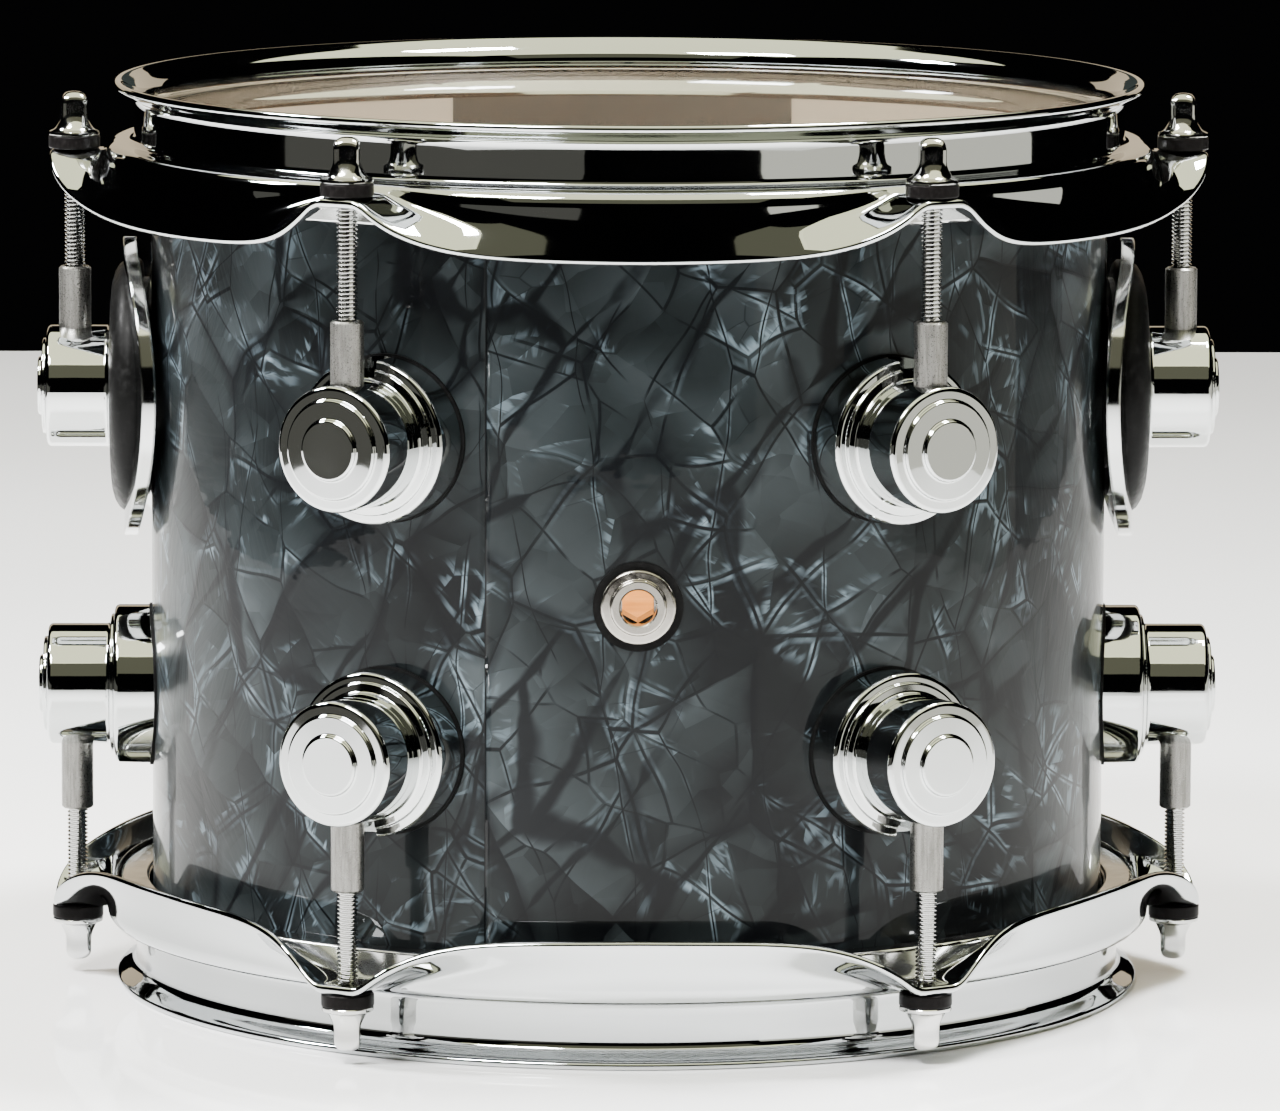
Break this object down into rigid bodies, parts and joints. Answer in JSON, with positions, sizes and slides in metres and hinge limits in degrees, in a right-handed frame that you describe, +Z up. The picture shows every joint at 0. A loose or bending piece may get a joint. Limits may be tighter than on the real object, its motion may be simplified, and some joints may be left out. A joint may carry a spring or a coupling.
{
  "type": "tom drum",
  "caption": "Rack tom drum with two chrome hoops, clear heads, turret lugs, tension rods, a vent and a suspension mount whose clamp takes a mounting rod.",
  "frame": {"origin": "on the drum's axis, in the plane that the lower hoop's lip rests on", "axes": "+Z up along the drum's axis towards the batter head; -Y is the front, with the vent; +Y is the back, with the mounting clamp"},
  "size_m": [0.3142, 0.3349, 0.2407],
  "materials": {
    "shell_wood": "satin lacquered maple ply",
    "pearl_wrap": "glossy dark grey-blue marbled pearl sheet",
    "hoop_chrome": "polished chrome",
    "clear_film": "clear glossy polyester film",
    "head_ring": "satin aluminium",
    "vent_nickel": "satin nickel",
    "black_gasket": "matte black",
    "lug_chrome": "polished chrome",
    "screw_steel": "zinc-plated steel",
    "receiver_nickel": "brushed nickel",
    "rod_chrome": "polished chrome",
    "black_nylon": "black nylon",
    "band_chrome": "polished chrome",
    "black_rubber": "black rubber",
    "clamp_chrome": "polished chrome",
    "stud_steel": "bright steel"
  },
  "bodies": {
    "drum_body": {"shell": "shell_wood", "finish_wrap": "pearl_wrap", "batter_head_film": "clear_film", "resonant_head_film": "clear_film", "batter_flesh_hoop": "head_ring", "resonant_flesh_hoop": "head_ring", "vent_grommet": "vent_nickel", "vent_nut": "vent_nickel", "vent_gasket": "black_gasket", "upper_lug_gaskets": "black_gasket", "lower_lug_gaskets": "black_gasket", "bracket_gasket": "black_gasket", "upper_lug_1": "lug_chrome", "upper_lug_2": "lug_chrome", "upper_lug_3": "lug_chrome", "upper_lug_4": "lug_chrome", "upper_lug_5": "lug_chrome", "upper_lug_6": "lug_chrome", "lower_lug_1": "lug_chrome", "lower_lug_2": "lug_chrome", "lower_lug_3": "lug_chrome", "lower_lug_4": "lug_chrome", "lower_lug_5": "lug_chrome", "lower_lug_6": "lug_chrome", "upper_lug_screws": "screw_steel", "lower_lug_screws": "screw_steel", "upper_lug_screw_washers": "screw_steel", "lower_lug_screw_washers": "screw_steel", "bracket_screws": "screw_steel", "upper_receivers": "receiver_nickel", "lower_receivers": "receiver_nickel", "suspension_band": "band_chrome", "right_eye_rubber": "black_rubber", "left_eye_rubber": "black_rubber", "clamp_base": "clamp_chrome", "clamp_stud": "stud_steel", "clamp_guide_pin": "stud_steel"},
    "batter_hoop_body": {"batter_hoop": "hoop_chrome", "top_rod_washers": "black_nylon"},
    "resonant_hoop_body": {"resonant_hoop": "hoop_chrome", "bottom_rod_washers": "black_nylon"},
    "clamp_jaw_body": {"clamp_jaw": "clamp_chrome", "wing_nut_washer": "clamp_chrome"},
    "wing_nut_body": {"wing_nut": "clamp_chrome"},
    "top_rod_1_body": {"top_rod_1": "rod_chrome"},
    "bottom_rod_1_body": {"bottom_rod_1": "rod_chrome"},
    "top_rod_2_body": {"top_rod_2": "rod_chrome"},
    "bottom_rod_2_body": {"bottom_rod_2": "rod_chrome"},
    "top_rod_3_body": {"top_rod_3": "rod_chrome"},
    "bottom_rod_3_body": {"bottom_rod_3": "rod_chrome"},
    "top_rod_4_body": {"top_rod_4": "rod_chrome"},
    "bottom_rod_4_body": {"bottom_rod_4": "rod_chrome"},
    "top_rod_5_body": {"top_rod_5": "rod_chrome"},
    "bottom_rod_5_body": {"bottom_rod_5": "rod_chrome"},
    "top_rod_6_body": {"top_rod_6": "rod_chrome"},
    "bottom_rod_6_body": {"bottom_rod_6": "rod_chrome"}
  },
  "joints": [
    {"name": "batter_hoop_lift", "type": "slide", "parent": "drum_body", "child": "batter_hoop_body", "axis": [0, 0, 1], "range_m": [0, 0.005]},
    {"name": "resonant_hoop_drop", "type": "slide", "parent": "drum_body", "child": "resonant_hoop_body", "axis": [0, 0, -1], "range_m": [0, 0.005]},
    {"name": "top_rod_1_turn", "type": "hinge", "parent": "batter_hoop_body", "child": "top_rod_1_body", "pos_m": [0.0736, -0.12748, 0.2], "axis": [0, 0, 1], "range_deg": [0, 1705]},
    {"name": "top_rod_2_turn", "type": "hinge", "parent": "batter_hoop_body", "child": "top_rod_2_body", "pos_m": [0.1472, 0, 0.2], "axis": [0, 0, 1], "range_deg": [0, 1705]},
    {"name": "top_rod_3_turn", "type": "hinge", "parent": "batter_hoop_body", "child": "top_rod_3_body", "pos_m": [0.0736, 0.12748, 0.2], "axis": [0, 0, 1], "range_deg": [0, 1705]},
    {"name": "top_rod_4_turn", "type": "hinge", "parent": "batter_hoop_body", "child": "top_rod_4_body", "pos_m": [-0.0736, 0.12748, 0.2], "axis": [0, 0, 1], "range_deg": [0, 1705]},
    {"name": "top_rod_5_turn", "type": "hinge", "parent": "batter_hoop_body", "child": "top_rod_5_body", "pos_m": [-0.1472, 0, 0.2], "axis": [0, 0, 1], "range_deg": [0, 1705]},
    {"name": "top_rod_6_turn", "type": "hinge", "parent": "batter_hoop_body", "child": "top_rod_6_body", "pos_m": [-0.0736, -0.12748, 0.2], "axis": [0, 0, 1], "range_deg": [0, 1705]},
    {"name": "bottom_rod_1_turn", "type": "hinge", "parent": "resonant_hoop_body", "child": "bottom_rod_1_body", "pos_m": [0.0736, -0.12748, 0.04], "axis": [0, 0, -1], "range_deg": [0, 1705]},
    {"name": "bottom_rod_2_turn", "type": "hinge", "parent": "resonant_hoop_body", "child": "bottom_rod_2_body", "pos_m": [0.1472, 0, 0.04], "axis": [0, 0, -1], "range_deg": [0, 1705]},
    {"name": "bottom_rod_3_turn", "type": "hinge", "parent": "resonant_hoop_body", "child": "bottom_rod_3_body", "pos_m": [0.0736, 0.12748, 0.04], "axis": [0, 0, -1], "range_deg": [0, 1705]},
    {"name": "bottom_rod_4_turn", "type": "hinge", "parent": "resonant_hoop_body", "child": "bottom_rod_4_body", "pos_m": [-0.0736, 0.12748, 0.04], "axis": [0, 0, -1], "range_deg": [0, 1705]},
    {"name": "bottom_rod_5_turn", "type": "hinge", "parent": "resonant_hoop_body", "child": "bottom_rod_5_body", "pos_m": [-0.1472, 0, 0.04], "axis": [0, 0, -1], "range_deg": [0, 1705]},
    {"name": "bottom_rod_6_turn", "type": "hinge", "parent": "resonant_hoop_body", "child": "bottom_rod_6_body", "pos_m": [-0.0736, -0.12748, 0.04], "axis": [0, 0, -1], "range_deg": [0, 1705]},
    {"name": "clamp_jaw_slide", "type": "slide", "parent": "drum_body", "child": "clamp_jaw_body", "axis": [0, 1, 0], "range_m": [0, 0.004]},
    {"name": "wing_nut_turn", "type": "hinge", "parent": "clamp_jaw_body", "child": "wing_nut_body", "pos_m": [0.0165, 0.18, 0.1185], "axis": [0, 1, 0], "range_deg": [0, 1155]}
  ],
  "couplings": [
    {"joint": "top_rod_1_turn", "follows": "batter_hoop_lift", "rad_per_m": 5938.7},
    {"joint": "top_rod_2_turn", "follows": "batter_hoop_lift", "rad_per_m": 5938.7},
    {"joint": "top_rod_3_turn", "follows": "batter_hoop_lift", "rad_per_m": 5938.7},
    {"joint": "top_rod_4_turn", "follows": "batter_hoop_lift", "rad_per_m": 5938.7},
    {"joint": "top_rod_5_turn", "follows": "batter_hoop_lift", "rad_per_m": 5938.7},
    {"joint": "top_rod_6_turn", "follows": "batter_hoop_lift", "rad_per_m": 5938.7},
    {"joint": "bottom_rod_1_turn", "follows": "resonant_hoop_drop", "rad_per_m": 5938.7},
    {"joint": "bottom_rod_2_turn", "follows": "resonant_hoop_drop", "rad_per_m": 5938.7},
    {"joint": "bottom_rod_3_turn", "follows": "resonant_hoop_drop", "rad_per_m": 5938.7},
    {"joint": "bottom_rod_4_turn", "follows": "resonant_hoop_drop", "rad_per_m": 5938.7},
    {"joint": "bottom_rod_5_turn", "follows": "resonant_hoop_drop", "rad_per_m": 5938.7},
    {"joint": "bottom_rod_6_turn", "follows": "resonant_hoop_drop", "rad_per_m": 5938.7},
    {"joint": "wing_nut_turn", "follows": "clamp_jaw_slide", "rad_per_m": 5026.5}
  ]
}
